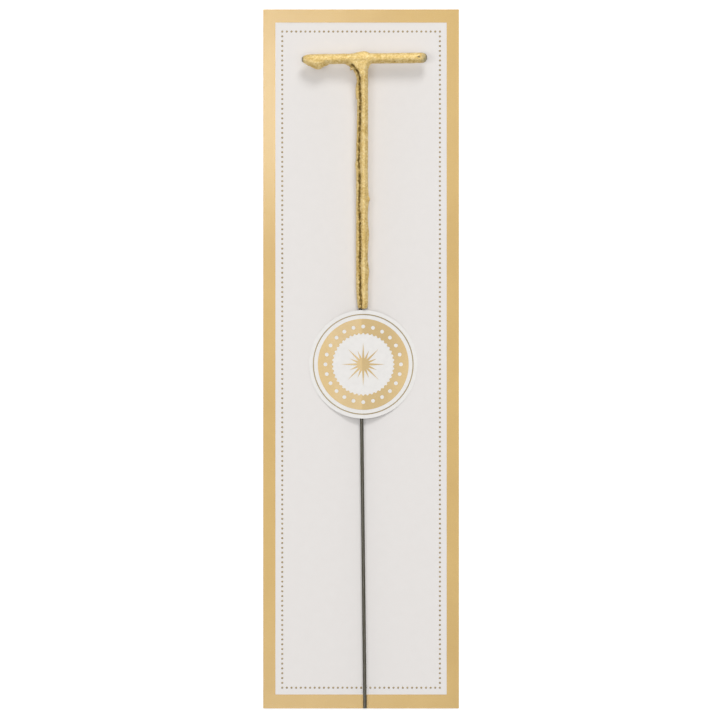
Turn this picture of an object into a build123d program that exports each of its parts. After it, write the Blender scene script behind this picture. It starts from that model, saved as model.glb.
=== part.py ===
from build123d import *
import math
import os

# A letter-T hand sparkler, held on a tall foil-printed card by a round label that tents over its stick.
# Millimetres. The card lies on its back: +X across it, +Y towards the T, +Z out of its printed face.
# The origin is the middle of the card's back face.

# Backing card
CARD_WIDTH = 56.0
CARD_HEIGHT = 200.0
CARD_THICKNESS = 0.6

# Gold foil stamped on the card: a plain border and a row of dots inside it
FOIL_THICKNESS = 0.04
FRAME_SIDE = 3.5
FRAME_TOP = 3.8
FRAME_BOTTOM = 4.0
DOT_DIAMETER = 0.6
DOT_PITCH_ACROSS = 1.33
DOT_PITCH_ALONG = 1.38
DOT_INSET_SIDE = 5.45
DOT_INSET_TOP = 6.35
DOT_INSET_BOTTOM = 5.95

# Round label: its place from the card's middle, and the glued strips along its two sides
LABEL_DIAMETER = 31.0
LABEL_X = 0.62
LABEL_Y = -1.55
PAPER_THICKNESS = 0.16
GLUE_THICKNESS = 0.05
GLUE_WIDTH = 5.0
GLUE_INSET = 0.3
LABEL_CLEARANCE = 0.2
RIDGE_RADIUS = 2.0
FOOT_RADIUS = 4.0

# Gold foil on the label, from the rim inwards, and the film that bonds it to the paper
FOIL_BOND = 0.01
RING_INSET = 1.1
RING_WIDTH = 0.3
BAND_GAP = 1.1
BAND_WIDTH = 4.4
SCALLOPS = 44
SCALLOP_RADIUS = 0.36
BEADS = 24
BEAD_RADIUS = 0.55
MOTIF_GAP = 2.4
MOTIF_RAYS = 16
MOTIF_WAIST = 1.7
SHORT_RAY_CUT = 2.0

# Wires: one runs from the handle into the left arm, the other from the right arm down beside it
WIRE_DIAMETER = 1.0
TWIN_GAP = 0.05
TWIN_TILT = 25.0
LEFT_BEND_RADIUS = 4.1
RIGHT_BEND_RADIUS = 3.3
STICK_LENGTH = 185.6
STICK_END_INSET = 0.1
STICK_LEAN = 0.65
STICK_LIFT = 0.7
STEM_X = 0.33
BAR_LIFT = 2.7
LEFT_REACH = 17.3
RIGHT_REACH = 18.6
BAR_TILT = 0.8
WIRE_TIP_COVER = 1.0

# The stick leaves the card's plane under the label and straightens before the label's upper edge
LIFT_START = 3.5
HANDLE_GAP = 0.25
STRAIGHTEN_AT = 2.0

# Composition dipped on the wires, and the gold coat over it
STEM_COAT = 0.57
ARM_COAT = 0.86
COAT_START_GAP = 0.32
TAPER_LENGTH = 3.7
TAPER_DROP = 0.28
SKIN_THICKNESS = 0.12
BARE_STEM_END = 0.9
BARE_TIP = 1.8
TIP_SWELL = 0.06

# Lumps: how far each stands out, with shares of the stem or arm that they sit on
PEAK_RADIUS = 1.5
PEAK_RISE = 0.4
LUMP_RADIUS = 0.8
LUMP_RISE = 0.36
LEFT_LUMPS = (0.13, 0.43)
RIGHT_LUMPS = (0.56, 0.71, 0.85)
DRIP_RADIUS = 1.1
DRIP_FALL = 1.55
DRIP_SHARE = 0.745
DRIP_START_SHARE = 0.9
DRIP_END_SHARE = 0.6

# Worked out from the sizes above
card_front = CARD_THICKNESS
wire_radius = WIRE_DIAMETER / 2
label_radius = LABEL_DIAMETER / 2
label_low = LABEL_Y - label_radius
label_high = LABEL_Y + label_radius
stem_radius = wire_radius + STEM_COAT
arm_radius = wire_radius + ARM_COAT
lean = math.tan(math.radians(STICK_LEAN))

# The two wires lie side by side in the stem, the second one turned towards the front
twin_tilt = math.radians(TWIN_TILT)
twin_step = Vector(math.cos(twin_tilt), 0, math.sin(twin_tilt)) * (WIRE_DIAMETER + TWIN_GAP)
stick_x = STEM_X - twin_step.X / 2

# Stick axis: heights above the table at the handle and at the bar, and the rise between them
stick_low_y = STICK_END_INSET - CARD_HEIGHT / 2
bar_y = stick_low_y + STICK_LENGTH
handle_z = card_front + STICK_LIFT + wire_radius
bar_z = card_front + BAR_LIFT + arm_radius + SKIN_THICKNESS
lift_y = label_low + LIFT_START
rise = (bar_z - twin_step.Z / 2 - handle_z) / (bar_y - lift_y)
straight_y = label_high - STRAIGHTEN_AT
coat_low_y = label_high + COAT_START_GAP


def stick_axis(y):
    """The point of the stick's axis, before its corners are rounded, at this height up the card."""
    x = stick_x + max(straight_y - y, 0) * lean
    return Vector(x, y, handle_z + max(y - lift_y, 0) * rise)


def tube(path, radius):
    """A round bar of this radius along a path of straight runs and tangent arcs."""
    return sweep(Plane(origin=path @ 0, z_dir=path % 0) * Circle(radius), path=path)


def cone_between(start, end, start_radius, end_radius):
    """A bar between two points that changes its radius evenly."""
    run = end - start
    return Solid.make_cone(start_radius, end_radius, run.length, Plane(origin=start, z_dir=run))


def ball(middle, radius, outward, axis):
    """A ball whose seam faces outward and whose poles lie along an axis."""
    return Plane(origin=middle, x_dir=outward, z_dir=axis) * Sphere(radius)


def joined(first, *others):
    """One solid of several that run into each other, joined in turn."""
    for other in others:
        first = first.fuse(other)
    return first


def ease_radius(ease, before, corner, after):
    """The arc that rounds a corner and starts this far before it."""
    turn = math.radians((corner - before).get_angle(after - corner))
    return ease / math.tan(turn / 2)


# Corners of the two wires, and the bar that their arms lie in
bar_tilt = math.radians(BAR_TILT)
bar_out = Vector(math.cos(bar_tilt), math.sin(bar_tilt), 0)
bar_middle = Vector(STEM_X, bar_y, bar_z)
left_tip = bar_middle - bar_out * LEFT_REACH
right_tip = bar_middle + bar_out * RIGHT_REACH
stick_end = stick_axis(stick_low_y)
lift_point = stick_axis(lift_y)
straight_point = stick_axis(straight_y)
left_corner = stick_axis(bar_y)
right_corner = left_corner + twin_step
left_wire_tip = left_corner - bar_out * (LEFT_REACH - twin_step.X / 2 - WIRE_TIP_COVER)
right_wire_tip = right_corner + bar_out * (RIGHT_REACH - twin_step.X / 2 - WIRE_TIP_COVER)
left_stem_low = stick_axis(coat_low_y)
right_stem_low = left_stem_low + twin_step

stick_path = FilletPolyline(
    stick_end,
    lift_point,
    straight_point,
    left_corner,
    left_wire_tip,
    radius=[
        ease_radius(LIFT_START + HANDLE_GAP, stick_end, lift_point, straight_point),
        ease_radius(STRAIGHTEN_AT, lift_point, straight_point, left_corner),
        LEFT_BEND_RADIUS,
    ],
)
arm_path = FilletPolyline(right_stem_low, right_corner, right_wire_tip, radius=RIGHT_BEND_RADIUS)


def coat_on_stem(stem_low, corner, wire_tip, bend, extra):
    """The coat along one wire, from its tapered start up the stem and round the bend into the bar."""
    taper_end = stem_low + (corner - stem_low).normalized() * TAPER_LENGTH
    stem_run, bend_run, _ = FilletPolyline(taper_end, corner, wire_tip, radius=bend).edges()
    start_radius = stem_radius - TAPER_DROP + extra
    return joined(
        cone_between(stem_low, taper_end, start_radius, stem_radius + extra),
        tube(Wire([stem_run, bend_run]), stem_radius + extra),
    )


def coat_on_bar(extra):
    """The thicker coat of the bar, with a round swelling at each tip."""
    tip_radius = arm_radius + TIP_SWELL
    left_middle = left_tip + bar_out * tip_radius
    right_middle = right_tip - bar_out * tip_radius
    return joined(
        tube(Edge.make_line(left_middle, right_middle), arm_radius + extra),
        ball(left_middle, tip_radius + extra, -bar_out, Vector(0, 0, 1)),
        ball(right_middle, tip_radius + extra, bar_out, Vector(0, 0, 1)),
    )


def lump_on_stem(low, corner, share, side, extra):
    """A lump that stands out sideways from one lobe of the stem, at a share of the way down it."""
    outward = Vector(side, 0, 0)
    middle = corner + (low - corner) * share + outward * (stem_radius + LUMP_RISE - LUMP_RADIUS)
    return ball(middle, LUMP_RADIUS + extra, outward, corner - low)


def drip_on_arm(extra):
    """A sagging drop under the left arm: it slants down from near the tip and runs back up to the arm."""
    down = Vector(0, -1, 0)
    reach = left_tip - bar_middle
    lowest = bar_middle + reach * DRIP_SHARE + down * (arm_radius + DRIP_FALL - DRIP_RADIUS)
    start = bar_middle + reach * DRIP_START_SHARE
    end = bar_middle + reach * DRIP_END_SHARE
    return [
        tube(Edge.make_line(start, lowest), DRIP_RADIUS + extra),
        tube(Edge.make_line(end, lowest), DRIP_RADIUS + extra),
        ball(lowest, DRIP_RADIUS + extra, down, Vector(0, 0, 1)),
    ]


def coat(extra):
    """The whole dipped coat, grown outwards by this much."""
    top = Vector(0, 1, 0)
    peak = bar_middle + top * (arm_radius + PEAK_RISE - PEAK_RADIUS)
    return joined(
        coat_on_bar(extra),
        coat_on_stem(left_stem_low, left_corner, left_wire_tip, LEFT_BEND_RADIUS, extra),
        coat_on_stem(right_stem_low, right_corner, right_wire_tip, RIGHT_BEND_RADIUS, extra),
        ball(peak, PEAK_RADIUS + extra, top, bar_out),
        *[lump_on_stem(left_stem_low, left_corner, share, -1, extra) for share in LEFT_LUMPS],
        *[lump_on_stem(right_stem_low, right_corner, share, 1, extra) for share in RIGHT_LUMPS],
        *drip_on_arm(extra),
    )


def slab_across(point, direction, length):
    """A block that starts at a point and reaches this far along a direction, wider than the coat."""
    across = 2 * (2 * arm_radius + DRIP_FALL)
    block = Box(across, across, length, align=(Align.CENTER, Align.CENTER, Align.MIN))
    return Plane(origin=point, z_dir=direction) * block


def bare_ends():
    """Blocks over the stem's lower end and the two tips, where the gold coat stops short."""
    up = (left_corner - left_stem_low).normalized()
    past = arm_radius
    return [
        slab_across(left_stem_low + up * BARE_STEM_END, -up, BARE_STEM_END + past),
        slab_across(left_tip + bar_out * BARE_TIP, -bar_out, BARE_TIP + past),
        slab_across(right_tip - bar_out * BARE_TIP, bar_out, BARE_TIP + past),
    ]


def plate(outline, height, bottom):
    """A flat outline made into a sheet of this height, standing on a level."""
    return Pos(0, 0, bottom) * extrude(outline, height)


def backing_card():
    return plate(Rectangle(CARD_WIDTH, CARD_HEIGHT), CARD_THICKNESS, 0)


def foil_frame():
    window_height = CARD_HEIGHT - FRAME_TOP - FRAME_BOTTOM
    window = Rectangle(CARD_WIDTH - 2 * FRAME_SIDE, window_height)
    border = Rectangle(CARD_WIDTH, CARD_HEIGHT) - Pos(0, (FRAME_BOTTOM - FRAME_TOP) / 2) * window
    return plate(border, FOIL_THICKNESS, card_front)


def foil_dots():
    """Dots on a rectangle inside the border, evenly spaced, with one on each corner."""
    right = CARD_WIDTH / 2 - DOT_INSET_SIDE
    top = CARD_HEIGHT / 2 - DOT_INSET_TOP
    bottom = DOT_INSET_BOTTOM - CARD_HEIGHT / 2
    across = round(2 * right / DOT_PITCH_ACROSS)
    along = round((top - bottom) / DOT_PITCH_ALONG)
    columns = [-right + 2 * right * i / across for i in range(across + 1)]
    rows = [bottom + (top - bottom) * i / along for i in range(1, along)]
    places = [(x, y) for x in columns for y in (bottom, top)]
    places += [(x, y) for y in rows for x in (-right, right)]
    dot = plate(Circle(DOT_DIAMETER / 2), FOIL_THICKNESS, card_front).solid()
    return Compound([Pos(x, y) * dot for x, y in places])


# The label's tent: a straight ridge over the stick, and feet that run to the far point where it lands
label_base = card_front + GLUE_THICKNESS
half_open = label_radius - GLUE_WIDTH
ridge_lift = Vector(0, 0, wire_radius + LABEL_CLEARANCE)
ridge_low = stick_axis(label_low) + ridge_lift
ridge_run = stick_axis(label_high) + ridge_lift - ridge_low
tent_apex = ridge_low - ridge_run * ((ridge_low.Z - label_base) / ridge_run.Z)
tent_corners = [
    Vector(LABEL_X - LABEL_DIAMETER, LABEL_Y, label_base),
    Vector(LABEL_X - half_open, LABEL_Y, label_base),
    ridge_low + ridge_run / 2,
    Vector(LABEL_X + half_open, LABEL_Y, label_base),
    Vector(LABEL_X + LABEL_DIAMETER, LABEL_Y, label_base),
]


def tent_share(y):
    """How large the tent is at this height up the card, against its middle."""
    return (y - tent_apex.Y) / (LABEL_Y - tent_apex.Y)


def tent_line(y):
    """The corners of the label's profile across the stick: flat sides, two feet and the ridge."""
    return [tent_apex + (corner - tent_apex) * tent_share(y) for corner in tent_corners]


def tent_section(y, bottom, thickness):
    """The label's profile with its corners rounded, this far above the underside."""
    radii = [radius * tent_share(y) for radius in (FOOT_RADIUS, RIDGE_RADIUS, FOOT_RADIUS)]
    under = Pos(0, 0, bottom) * FilletPolyline(*tent_line(y), radius=radii)
    over = Pos(0, 0, thickness) * under
    ends = [Line(under @ 0, over @ 0), Line(under @ 1, over @ 1)]
    return make_face([*under.edges(), *over.edges(), *ends])


def tent_sheet(outline, bottom, thickness):
    """A sheet of this outline that lies on the label's tented form, this far above its underside."""
    low = tent_section(label_low, bottom, thickness)
    high = tent_section(label_high, bottom, thickness)
    column = extrude(outline, bar_z)
    return loft([low, high], ruled=True) & Pos(LABEL_X, LABEL_Y, 0) * column


def label_paper():
    return tent_sheet(Circle(label_radius), 0, PAPER_THICKNESS)


def label_adhesive():
    """The glue under the label's two flat sides, each pad from a foot of the tent outwards."""
    low = tent_line(label_low)
    high = tent_line(label_high)
    disc = Pos(LABEL_X, LABEL_Y) * Circle(label_radius - GLUE_INSET)
    pads = []
    for outer, foot in ((0, 1), (-1, -2)):
        corners = [low[outer], low[foot], high[foot], high[outer]]
        strip = make_face(Polyline(*[(corner.X, corner.Y) for corner in corners], close=True))
        pads.append(plate(disc & strip, GLUE_THICKNESS, card_front).solid())
    return Compound(pads)


def ring(outer, width):
    return Circle(outer) - Circle(outer - width)


ring_outer = label_radius - RING_INSET
band_outer = ring_outer - RING_WIDTH - BAND_GAP
band_inner = band_outer - BAND_WIDTH
motif_radius = band_inner - MOTIF_GAP


def label_foil(outline):
    """A foil print of this outline on the label's face."""
    return tent_sheet(outline, PAPER_THICKNESS + FOIL_BOND, FOIL_THICKNESS)


def label_ring_line():
    return label_foil(ring(ring_outer, RING_WIDTH))


def label_band():
    """A broad ring with a scalloped inner edge and a circle of round windows."""
    band = ring(band_outer, BAND_WIDTH)
    bead_circle = band_outer - BAND_WIDTH / 2
    band -= PolarLocations(band_inner, SCALLOPS) * Circle(SCALLOP_RADIUS)
    band -= PolarLocations(bead_circle, BEADS) * Circle(BEAD_RADIUS)
    return label_foil(band)


def label_motif():
    """A burst of long and short rays."""
    points = []
    for step in range(2 * MOTIF_RAYS):
        ray, valley = divmod(step, 2)
        reach = motif_radius - SHORT_RAY_CUT * (ray % 2)
        radius = MOTIF_WAIST if valley else reach
        angle = math.pi * step / MOTIF_RAYS
        points.append((radius * math.sin(angle), radius * math.cos(angle)))
    return label_foil(make_face(Polyline(*points, close=True)))


stick_wire = tube(stick_path, wire_radius)
arm_wire = tube(arm_path, wire_radius)
composition_form = coat(0)
spark_composition = composition_form - stick_wire - arm_wire
gold_skin = coat(SKIN_THICKNESS).cut(*bare_ends()) - composition_form

nodes = {
    "backing_card": backing_card(),
    "foil_frame": foil_frame(),
    "foil_dots": foil_dots(),
    "label_paper": label_paper(),
    "label_adhesive": label_adhesive(),
    "label_ring_line": label_ring_line(),
    "label_band": label_band(),
    "label_motif": label_motif(),
    "stick_wire": stick_wire,
    "arm_wire": arm_wire,
    "spark_composition": spark_composition,
    "gold_skin": gold_skin,
}

os.makedirs("parts", exist_ok=True)
for name, shape in nodes.items():
    export_step(shape, f"parts/{name}.step")
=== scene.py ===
import math

import bmesh
import bpy
import numpy as np
from mathutils import Matrix, Vector, noise
from mathutils.geometry import delaunay_2d_cdt


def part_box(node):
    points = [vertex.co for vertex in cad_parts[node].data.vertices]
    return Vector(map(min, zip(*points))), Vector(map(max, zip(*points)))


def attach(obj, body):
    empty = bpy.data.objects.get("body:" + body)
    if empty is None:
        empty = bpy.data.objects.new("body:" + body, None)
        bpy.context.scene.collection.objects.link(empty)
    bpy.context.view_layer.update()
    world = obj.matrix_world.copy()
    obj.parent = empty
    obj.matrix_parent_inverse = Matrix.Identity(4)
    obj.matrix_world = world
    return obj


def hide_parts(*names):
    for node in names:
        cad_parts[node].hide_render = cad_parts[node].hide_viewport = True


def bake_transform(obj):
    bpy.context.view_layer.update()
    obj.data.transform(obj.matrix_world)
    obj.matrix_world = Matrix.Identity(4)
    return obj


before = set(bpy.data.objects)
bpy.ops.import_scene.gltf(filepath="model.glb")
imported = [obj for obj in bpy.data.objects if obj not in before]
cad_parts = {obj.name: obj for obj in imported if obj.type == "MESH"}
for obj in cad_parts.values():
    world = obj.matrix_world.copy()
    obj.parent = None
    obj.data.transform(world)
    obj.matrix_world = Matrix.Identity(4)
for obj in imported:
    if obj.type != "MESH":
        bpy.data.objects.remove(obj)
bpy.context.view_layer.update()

# Lengths in this script are millimetres in the part's own frame, and MM turns them into Blender's metres.
# Only the lights and the floor's size are given in metres.
MM = 0.001


def node_box(name):
    """A node's lowest and highest corner in millimetres."""
    low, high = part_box(name)
    return low / MM, high / MM


card_low, card_high = node_box("backing_card")
paper_low, paper_high = node_box("label_paper")
pads_low, pads_high = node_box("label_adhesive")
coat_low, coat_high = node_box("spark_composition")
stick_low, _ = node_box("stick_wire")
ring_low, ring_high = node_box("label_ring_line")
band_low, band_high = node_box("label_band")
motif_low, motif_high = node_box("label_motif")
dots_low, dots_high = node_box("foil_dots")
card_front = card_high.z

# Wires and coat, as the part has them
WIRE_RADIUS = 0.5
TWIN_SPACING = 1.05
TWIN_TILT = math.radians(25)
STEM_RADIUS = 1.07
ARM_RADIUS = 1.36
SKIN = 0.12
LEFT_BEND = 4.1
RIGHT_BEND = 3.3
HANDLE_LIFT = 1.2
BAR_Y = 85.7
BAR_Z = 4.78
BAR_TILT = math.radians(0.8)
STICK_LEAN = math.radians(0.65)
STEM_X = 0.33
LIFT_START = 3.5
LIFT_EASE = 3.75
STRAIGHTEN_AT = 2.0
TIP_COVER = 1.0
TAPER_LENGTH = 3.7
TAPER_DROP = 0.28

# The label's tent, with a gentler bend at its feet than the part has
LABEL_CLEARANCE = 0.2
GLUE_WIDTH = 5.0
RIDGE_RADIUS = 2.0
FOOT_RADIUS = 40.0
PAPER = 0.16
BOND = 0.01
FOIL = 0.04

label_x = (paper_low.x + paper_high.x) / 2
label_y = (paper_low.y + paper_high.y) / 2
label_radius = (paper_high.x - paper_low.x) / 2
label_base = paper_low.z

twin_step = Vector((math.cos(TWIN_TILT), 0, math.sin(TWIN_TILT))) * TWIN_SPACING
stick_x = STEM_X - twin_step.x / 2
handle_z = card_front + HANDLE_LIFT
lift_y = paper_low.y + LIFT_START
straight_y = paper_high.y - STRAIGHTEN_AT
rise = (BAR_Z - twin_step.z / 2 - handle_z) / (BAR_Y - lift_y)
bar_out = Vector((math.cos(BAR_TILT), math.sin(BAR_TILT), 0))
bar_middle = Vector((STEM_X, BAR_Y, BAR_Z))
left_tip = bar_middle + bar_out * (coat_low.x - STEM_X)
right_tip = bar_middle + bar_out * (coat_high.x - STEM_X)


def stick_axis(y):
    """The point of the stick's axis at this height up the card."""
    x = stick_x + max(straight_y - y, 0) * math.tan(STICK_LEAN)
    return Vector((x, y, handle_z + max(y - lift_y, 0) * rise))


left_corner = stick_axis(BAR_Y)
right_corner = left_corner + twin_step
left_low = stick_axis(coat_low.y)
right_low = left_low + twin_step


# Meshes

def piece(name, mesh, body, material, *nodes, slot):
    """A new object of a finished mesh that stands for CAD nodes and rides on a body, if one is given."""
    obj = bpy.data.objects.new(name, mesh)
    bpy.context.scene.collection.objects.link(obj)
    mesh.materials.clear()
    mesh.materials.append(material)
    if body:
        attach(obj, body)
    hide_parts(*nodes)
    return obj


def mesh_of(name, points, faces, sharp_over=40):
    """A smooth-shaded mesh from millimetre points, with edges sharper than an angle kept sharp."""
    mesh = bpy.data.meshes.new(name)
    mesh.from_pydata([(x * MM, y * MM, z * MM) for x, y, z in points], [], faces)
    mesh.update()
    mesh.polygons.foreach_set("use_smooth", [True] * len(mesh.polygons))
    mesh.set_sharp_from_angle(angle=math.radians(sharp_over))
    return mesh


def rounded(points, radii, step):
    """Points along straight runs whose corners are rounded by arcs, no further apart than a step."""
    path = [points[0]]
    for before, corner, after, radius in zip(points, points[1:], points[2:], radii):
        into = (corner - before).normalized()
        out = (after - corner).normalized()
        turn = into.angle(out)
        start = corner - into * radius * math.tan(turn / 2)
        axis = into.cross(out).normalized()
        arm = -axis.cross(into) * radius
        count = max(4, math.ceil(turn * radius / step))
        path += [
            start - arm + Matrix.Rotation(turn * i / count, 3, axis) @ arm
            for i in range(count + 1)
        ]
    path.append(points[-1])
    spaced = [path[0]]
    for a, b in zip(path, path[1:]):
        count = max(1, math.ceil((b - a).length / step))
        spaced += [a.lerp(b, (i + 1) / count) for i in range(count)]
    return spaced


def ease_radius(ease, before, corner, after):
    """The arc that rounds a corner and starts this far before it."""
    return ease / math.tan((corner - before).angle(after - corner) / 2)


def tube(path, radius_at, sides):
    """Points and faces of a closed round tube along a path; radius_at takes the way along it."""
    points, faces = [], []
    across = Vector((0, 0, 1))
    along = 0.0
    for i, point in enumerate(path):
        ahead = (path[min(i + 1, len(path) - 1)] - path[max(i - 1, 0)]).normalized()
        across = (across - ahead * across.dot(ahead)).normalized()
        beside = ahead.cross(across)
        if i:
            along += (point - path[i - 1]).length
        radius = radius_at(along)
        for k in range(sides):
            turn = 2 * math.pi * k / sides
            points.append(point + (across * math.cos(turn) + beside * math.sin(turn)) * radius)
    for i in range(len(path) - 1):
        for k in range(sides):
            a, b = i * sides + k, i * sides + (k + 1) % sides
            faces.append((a, b, b + sides, a + sides))
    last = (len(path) - 1) * sides
    faces.append(tuple(reversed(range(sides))))
    faces.append(tuple(range(last, last + sides)))
    return points, faces


# Materials

# The Mix node's sockets for colours
MIX_FACTOR, MIX_FROM, MIX_TO, MIX_RESULT = 0, 6, 7, 2


def new_material(name, metallic=0.0, **sockets):
    """A material with one Principled shader; the given values go straight on its sockets."""
    mat = bpy.data.materials.new(name)
    mat.use_nodes = True
    shader = mat.node_tree.nodes["Principled BSDF"]
    shader.inputs["Metallic"].default_value = metallic
    for socket, value in sockets.items():
        shader.inputs[socket.replace("_", " ")].default_value = value
    return mat, shader


def add(mat, kind, **settings):
    """A new node of a material with these settings."""
    node = mat.node_tree.nodes.new(kind)
    for key, value in settings.items():
        setattr(node, key, value)
    return node


def link(mat, out, into):
    """Joins a node's output to another's input."""
    mat.node_tree.links.new(out, into)


def millimetres(mat, stretch=(1, 1, 1)):
    """The object's own coordinates in millimetres, scaled by a stretch."""
    coords = add(mat, "ShaderNodeTexCoord")
    mapping = add(mat, "ShaderNodeMapping")
    mapping.inputs["Scale"].default_value = [s / MM for s in stretch]
    link(mat, coords.outputs["Object"], mapping.inputs["Vector"])
    return mapping.outputs["Vector"]


def grain(mat, coords, scale, detail=4, rough=0.55, twist=0.0):
    """Noise with this many features in a millimetre."""
    node = add(mat, "ShaderNodeTexNoise")
    node.inputs["Scale"].default_value = scale
    node.inputs["Detail"].default_value = detail
    node.inputs["Roughness"].default_value = rough
    node.inputs["Distortion"].default_value = twist
    link(mat, coords, node.inputs["Vector"])
    return node.outputs["Fac"]


def cells(mat, coords, scale):
    """The distance from the middle of the nearest cell, with this many cells in a millimetre."""
    node = add(mat, "ShaderNodeTexVoronoi")
    node.inputs["Scale"].default_value = scale
    link(mat, coords, node.inputs["Vector"])
    return node.outputs["Distance"]


def ramp(mat, fac, *stops):
    """Colours or grey levels along a factor, as (place, colour) pairs."""
    node = add(mat, "ShaderNodeValToRGB")
    elements = node.color_ramp.elements
    while len(elements) < len(stops):
        elements.new(0.5)
    for element, (place, colour) in zip(elements, stops):
        element.position = place
        element.color = (*colour, 1) if isinstance(colour, tuple) else (colour, colour, colour, 1)
    link(mat, fac, node.inputs["Fac"])
    return node.outputs["Color"]


def mixed(mat, fac, a, b, blend="MIX"):
    """Colour a turning into colour b with a factor; a colour is an output or a tuple."""
    node = add(mat, "ShaderNodeMix", data_type="RGBA", blend_type=blend)
    for value, index in ((fac, MIX_FACTOR), (a, MIX_FROM), (b, MIX_TO)):
        if isinstance(value, bpy.types.NodeSocket):
            link(mat, value, node.inputs[index])
        else:
            node.inputs[index].default_value = value if index == MIX_FACTOR else (*value, 1)
    return node.outputs[MIX_RESULT]


def maths(mat, operation, a, b):
    """The result of a sum on two values, each an output or a number."""
    node = add(mat, "ShaderNodeMath", operation=operation)
    for value, socket in ((a, node.inputs[0]), (b, node.inputs[1])):
        if isinstance(value, bpy.types.NodeSocket):
            link(mat, value, socket)
        else:
            socket.default_value = value
    return node.outputs[0]


def bump(mat, shader, height, depth, below=None):
    """Surface relief of this depth in millimetres from a height of 0 to 1."""
    node = add(mat, "ShaderNodeBump")
    node.inputs["Strength"].default_value = 1.0
    node.inputs["Distance"].default_value = depth * MM
    link(mat, height, node.inputs["Height"])
    if below:
        link(mat, below, node.inputs["Normal"])
    link(mat, node.outputs["Normal"], shader.inputs["Normal"])
    return node.outputs["Normal"]


def named_value(mat, name):
    """A value that the mesh carries under this name."""
    return add(mat, "ShaderNodeAttribute", attribute_name=name).outputs["Fac"]


def card_material():
    """Coated board: a smooth printed face, and bare pulp at its edges and back."""
    mat, shader = new_material("card_board", Specular_IOR_Level=0.35)
    coords = millimetres(mat)
    mottle = grain(mat, coords, 0.35, 5, 0.6)
    fibre = grain(mat, millimetres(mat, (3, 9, 3)), 1.0, 6, 0.7, 0.8)
    face = ramp(mat, mottle, (0.3, (0.788, 0.758, 0.735)), (0.7, (0.802, 0.772, 0.75)))
    pulp = ramp(mat, fibre, (0.35, (0.46, 0.43, 0.39)), (0.65, (0.66, 0.63, 0.58)))
    normal = add(mat, "ShaderNodeSeparateXYZ")
    link(mat, add(mat, "ShaderNodeNewGeometry").outputs["Normal"], normal.inputs["Vector"])
    printed = ramp(mat, normal.outputs["Z"], (0.4, 0.0), (0.6, 1.0))
    link(mat, mixed(mat, printed, pulp, face), shader.inputs["Base Color"])
    link(mat, ramp(mat, mottle, (0.3, 0.5), (0.7, 0.56)), shader.inputs["Roughness"])
    bump(mat, shader, fibre, 0.008)
    return mat


def foil_material(name, tone, coat, smoothest, roughest):
    """Stamped gold foil: fine drag lines, a satin grain and a few worn specks."""
    mat, shader = new_material(name, metallic=1.0, Coat_Weight=coat, Coat_Roughness=0.16)
    coords = millimetres(mat)
    satin = grain(mat, coords, 3.0, 5, 0.65)
    drift = grain(mat, coords, 0.045, 3, 0.5)
    speck = cells(mat, coords, 1.7)
    light, dark = tone
    gold = ramp(mat, drift, (0.3, dark), (0.7, light))
    gold = mixed(mat, ramp(mat, satin, (0.35, 0.0), (0.75, 0.25)), gold, light)
    worn = ramp(mat, speck, (0.025, 0.55), (0.06, 0.0))
    link(mat, mixed(mat, worn, gold, (0.8, 0.74, 0.6)), shader.inputs["Base Color"])
    link(mat, ramp(mat, satin, (0.3, smoothest), (0.7, roughest)), shader.inputs["Roughness"])
    bump(mat, shader, satin, 0.006)
    return mat


def paper_material():
    """Uncoated white label paper with a fine fibre."""
    mat, shader = new_material("label_paper", Specular_IOR_Level=0.3)
    coords = millimetres(mat)
    fibre = grain(mat, millimetres(mat, (5, 2, 4)), 1.0, 6, 0.7, 1.0)
    mottle = grain(mat, coords, 0.8, 4)
    face = ramp(mat, mottle, (0.3, (0.81, 0.79, 0.765)), (0.7, (0.85, 0.83, 0.805)))
    shade = ramp(mat, fibre, (0.6, 0.0), (0.8, 0.3))
    link(mat, mixed(mat, shade, face, (0.76, 0.74, 0.71)), shader.inputs["Base Color"])
    link(mat, ramp(mat, fibre, (0.3, 0.55), (0.7, 0.72)), shader.inputs["Roughness"])
    bump(mat, shader, fibre, 0.01)
    return mat


def glue_material():
    """Dried glue with the drag marks of its brush."""
    mat, shader = new_material("glue", Specular_IOR_Level=0.5)
    coords = millimetres(mat)
    drag = grain(mat, millimetres(mat, (0.8, 4, 1)), 1.0, 4, 0.6, 0.6)
    tone = ramp(mat, drag, (0.3, (0.66, 0.62, 0.5)), (0.7, (0.82, 0.79, 0.7)))
    link(mat, tone, shader.inputs["Base Color"])
    gloss = ramp(mat, grain(mat, coords, 1.5), (0.3, 0.18), (0.7, 0.4))
    link(mat, gloss, shader.inputs["Roughness"])
    bump(mat, shader, drag, 0.02)
    return mat


def wire_material():
    """Dark drawn steel with die lines along its length and a thin brown scale."""
    mat, shader = new_material("steel_wire", metallic=0.85)
    coords = millimetres(mat)
    lines = grain(mat, millimetres(mat, (9, 0.12, 9)), 1.0, 4, 0.6)
    scale = grain(mat, coords, 0.8, 5, 0.65)
    steel = ramp(mat, lines, (0.3, (0.055, 0.05, 0.038)), (0.7, (0.15, 0.142, 0.115)))
    rust_and_crease_shade = ramp(mat, scale, (0.56, 0.0), (0.72, 0.5))
    link(mat, mixed(mat, rust_and_crease_shade, steel, (0.1, 0.062, 0.03)), shader.inputs["Base Color"])
    link(mat, ramp(mat, scale, (0.3, 0.3), (0.7, 0.48)), shader.inputs["Roughness"])
    bump(mat, shader, lines, 0.02)
    return mat


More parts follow.
